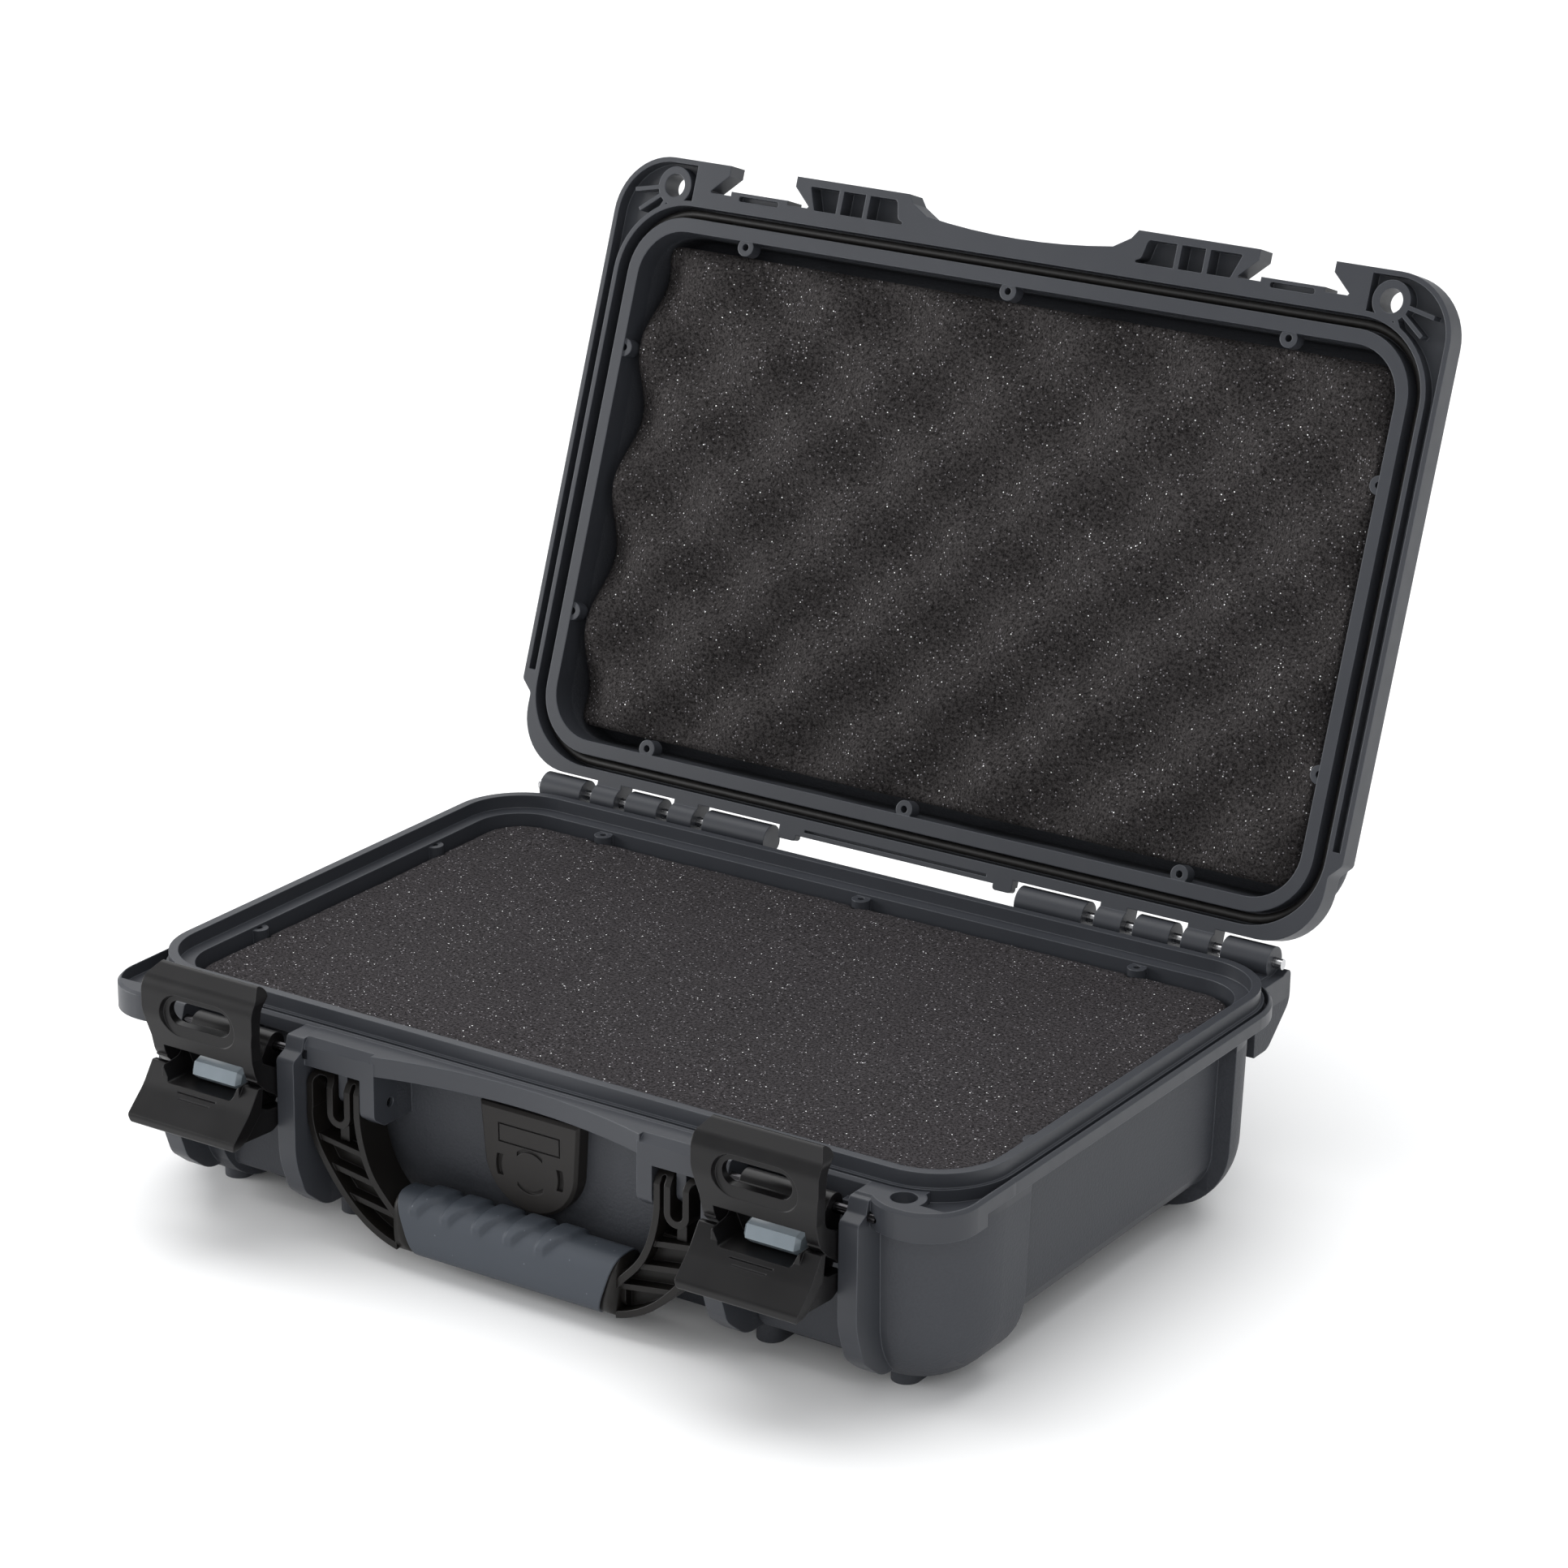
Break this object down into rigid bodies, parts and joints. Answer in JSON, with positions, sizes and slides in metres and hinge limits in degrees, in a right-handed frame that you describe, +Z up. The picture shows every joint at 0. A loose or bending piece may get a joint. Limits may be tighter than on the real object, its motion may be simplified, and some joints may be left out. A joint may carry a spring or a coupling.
{
  "type": "hard-shell protective case",
  "caption": "Open hard-shell carrying case with foam in base and lid, claw latches with slide locks, folding handle and pressure valve.",
  "frame": {"origin": "on the floor plane, under the centre of the rim's sealing tongue", "axes": "+X to the right seen from the front, +Y to the back (the hinge side), +Z up"},
  "size_m": [0.319, 0.336, 0.2809],
  "materials": {
    "shell_resin": "graphite grey impact resin, finely textured",
    "latch_nylon": "black satin nylon",
    "handle_nylon": "black satin nylon",
    "grip_rubber": "blue-grey soft overmould",
    "slider_resin": "light blue-grey glossy resin",
    "base_foam": "charcoal open-cell foam",
    "lid_foam": "charcoal convoluted open-cell foam",
    "gasket_rubber": "black sealing cord",
    "valve_resin": "dark grey resin",
    "valve_membrane": "white breathable membrane",
    "pin_steel": "stainless steel pin"
  },
  "bodies": {
    "base": {"base_shell": "shell_resin", "base_foam_pad": "base_foam", "base_foam_cubed": "base_foam", "valve_cover": "valve_resin", "valve_body": "valve_resin", "valve_seal": "gasket_rubber", "valve_nut": "valve_resin", "valve_membrane": "valve_membrane", "hinge_pin_left": "pin_steel", "hinge_pin_right": "pin_steel", "lever_pin_left": "pin_steel", "lever_pin_right": "pin_steel", "handle_pin_left": "pin_steel", "handle_pin_right": "pin_steel"},
    "lid": {"lid_shell": "shell_resin", "lid_gasket": "gasket_rubber", "lid_foam": "lid_foam"},
    "handle": {"handle_frame": "handle_nylon", "handle_grip": "grip_rubber"},
    "lever_left": {"latch_lever_left": "latch_nylon", "claw_pin_left": "pin_steel"},
    "claw_left": {"latch_claw_left": "latch_nylon"},
    "slider_left": {"latch_slider_left": "slider_resin"},
    "lever_right": {"latch_lever_right": "latch_nylon", "claw_pin_right": "pin_steel"},
    "claw_right": {"latch_claw_right": "latch_nylon"},
    "slider_right": {"latch_slider_right": "slider_resin"}
  },
  "joints": [
    {"name": "lid_hinge", "type": "hinge", "parent": "base", "child": "lid", "pos_m": [0, 0.10753, 0.0717], "axis": [1, 0, 0], "range_deg": [0, 109.48]},
    {"name": "handle_pivot", "type": "hinge", "parent": "base", "child": "handle", "pos_m": [0, -0.102, 0.051], "axis": [-1, 0, 0], "range_deg": [0, 92]},
    {"name": "lever_left_pivot", "type": "hinge", "parent": "base", "child": "lever_left", "pos_m": [-0.102, -0.1095, 0.063], "axis": [1, 0, 0], "range_deg": [-40, 0]},
    {"name": "claw_left_pivot", "type": "hinge", "parent": "lever_left", "child": "claw_left", "pos_m": [-0.102, -0.1115, 0.052], "axis": [-1, 0, 0], "range_deg": [0, 25]},
    {"name": "slider_left_slide", "type": "slide", "parent": "lever_left", "child": "slider_left", "axis": [-1, 0, 0], "range_m": [0, 0.005]},
    {"name": "lever_right_pivot", "type": "hinge", "parent": "base", "child": "lever_right", "pos_m": [0.102, -0.1095, 0.063], "axis": [1, 0, 0], "range_deg": [-40, 0]},
    {"name": "claw_right_pivot", "type": "hinge", "parent": "lever_right", "child": "claw_right", "pos_m": [0.102, -0.1115, 0.052], "axis": [-1, 0, 0], "range_deg": [0, 25]},
    {"name": "slider_right_slide", "type": "slide", "parent": "lever_right", "child": "slider_right", "axis": [-1, 0, 0], "range_m": [0, 0.005]}
  ]
}
